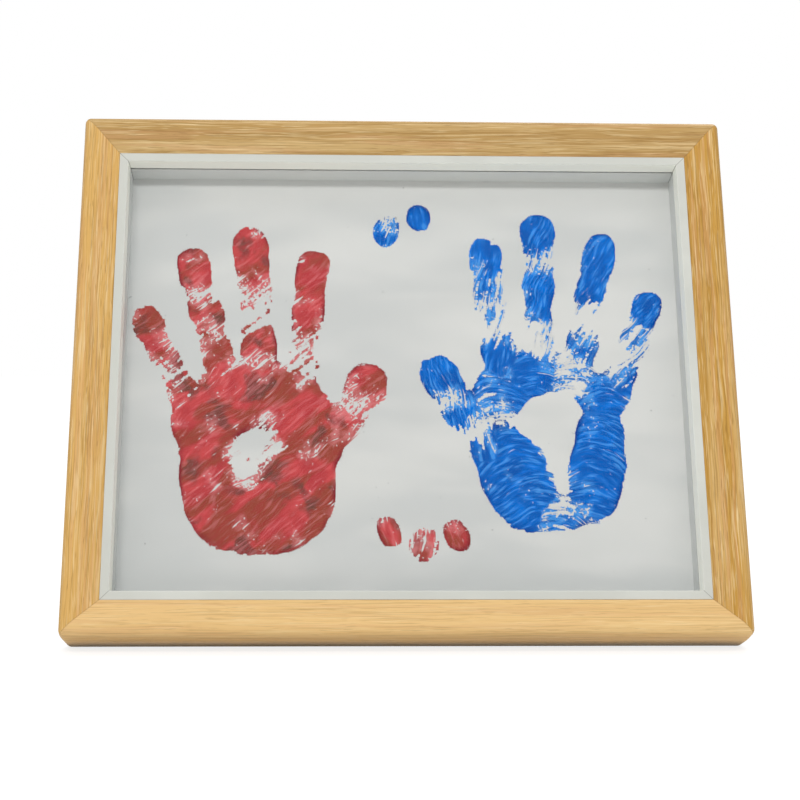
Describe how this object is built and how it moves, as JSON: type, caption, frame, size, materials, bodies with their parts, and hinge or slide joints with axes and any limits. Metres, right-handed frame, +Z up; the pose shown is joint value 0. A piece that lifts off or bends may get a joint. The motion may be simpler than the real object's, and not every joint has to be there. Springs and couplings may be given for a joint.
{
  "type": "picture frame",
  "caption": "Deep glazed picture frame with mitred oak rails, white inner slip, recessed sheet of handprints and a folding easel strut.",
  "frame": {"origin": "middle of the standing frame's footprint, on the surface that it stands on", "axes": "+X to the right along the lower rail seen from the front, +Y from the front to the back, +Z up; the frame leans back 22 degrees"},
  "size_m": [0.2898, 0.1244, 0.2292],
  "materials": {
    "oak": "satin, fine straight grain",
    "white_slip": "satin white lacquer",
    "white_spacer": "matt white lacquer",
    "glass": "polished",
    "paper": "matt, slightly cockled",
    "red_paint": "dried poster paint",
    "blue_paint": "dried poster paint",
    "card": "uncoated",
    "board": "pressed fibreboard, smooth face",
    "brass_plated_steel": "satin",
    "zinc_plated_steel": "satin"
  },
  "bodies": {
    "frame": {"rail_top": "oak", "rail_bottom": "oak", "rail_left": "oak", "rail_right": "oak", "slip_top": "white_slip", "slip_bottom": "white_slip", "slip_left": "white_slip", "slip_right": "white_slip", "glass": "glass", "spacer_top": "white_spacer", "spacer_bottom": "white_spacer", "spacer_left": "white_spacer", "spacer_right": "white_spacer", "sheet": "paper", "print_red": "red_paint", "print_blue": "blue_paint", "card": "card", "back_board": "board", "corner_nails": "zinc_plated_steel", "button_screws": "zinc_plated_steel", "board_leaf": "zinc_plated_steel", "board_rivets": "zinc_plated_steel", "hinge_pin": "zinc_plated_steel", "hanger_left": "zinc_plated_steel", "hanger_right": "zinc_plated_steel", "hanger_screws": "zinc_plated_steel"},
    "easel": {"strut": "board", "strut_leaf": "zinc_plated_steel", "strut_rivets": "zinc_plated_steel"},
    "ring_left": {"ring_left": "zinc_plated_steel"},
    "ring_right": {"ring_right": "zinc_plated_steel"},
    "button_top_left": {"button_top_left": "brass_plated_steel"},
    "button_top_right": {"button_top_right": "brass_plated_steel"},
    "button_bottom_left": {"button_bottom_left": "brass_plated_steel"},
    "button_bottom_right": {"button_bottom_right": "brass_plated_steel"},
    "button_left": {"button_left": "brass_plated_steel"},
    "button_right": {"button_right": "brass_plated_steel"}
  },
  "joints": [
    {"name": "strut_hinge", "type": "hinge", "parent": "frame", "child": "easel", "pos_m": [0, 0.02464, 0.14601], "axis": [1, 0, 0], "range_deg": [-36, 0]},
    {"name": "button_top_left_turn", "type": "hinge", "parent": "frame", "child": "button_top_left", "pos_m": [-0.078, 0.04832, 0.20957], "axis": [0, 0.9272, -0.3746], "range_deg": [-90, 90]},
    {"name": "button_top_right_turn", "type": "hinge", "parent": "frame", "child": "button_top_right", "pos_m": [0.078, 0.04832, 0.20957], "axis": [0, 0.9272, -0.3746], "range_deg": [-90, 90]},
    {"name": "button_bottom_left_turn", "type": "hinge", "parent": "frame", "child": "button_bottom_left", "pos_m": [-0.078, -0.03275, 0.00892], "axis": [0, 0.9272, -0.3746], "range_deg": [-90, 90]},
    {"name": "button_bottom_right_turn", "type": "hinge", "parent": "frame", "child": "button_bottom_right", "pos_m": [0.078, -0.03275, 0.00892], "axis": [0, 0.9272, -0.3746], "range_deg": [-90, 90]},
    {"name": "button_left_turn", "type": "hinge", "parent": "frame", "child": "button_left", "pos_m": [-0.1336, 0.00779, 0.10925], "axis": [0, 0.9272, -0.3746], "range_deg": [-90, 90]},
    {"name": "button_right_turn", "type": "hinge", "parent": "frame", "child": "button_right", "pos_m": [0.1336, 0.00779, 0.10925], "axis": [0, 0.9272, -0.3746], "range_deg": [-90, 90]},
    {"name": "ring_left_swing", "type": "hinge", "parent": "frame", "child": "ring_left", "pos_m": [-0.135, 0.0341, 0.17023], "axis": [1, 0, 0], "range_deg": [-20, 155]},
    {"name": "ring_right_swing", "type": "hinge", "parent": "frame", "child": "ring_right", "pos_m": [0.135, 0.0341, 0.17023], "axis": [1, 0, 0], "range_deg": [-20, 155]}
  ]
}
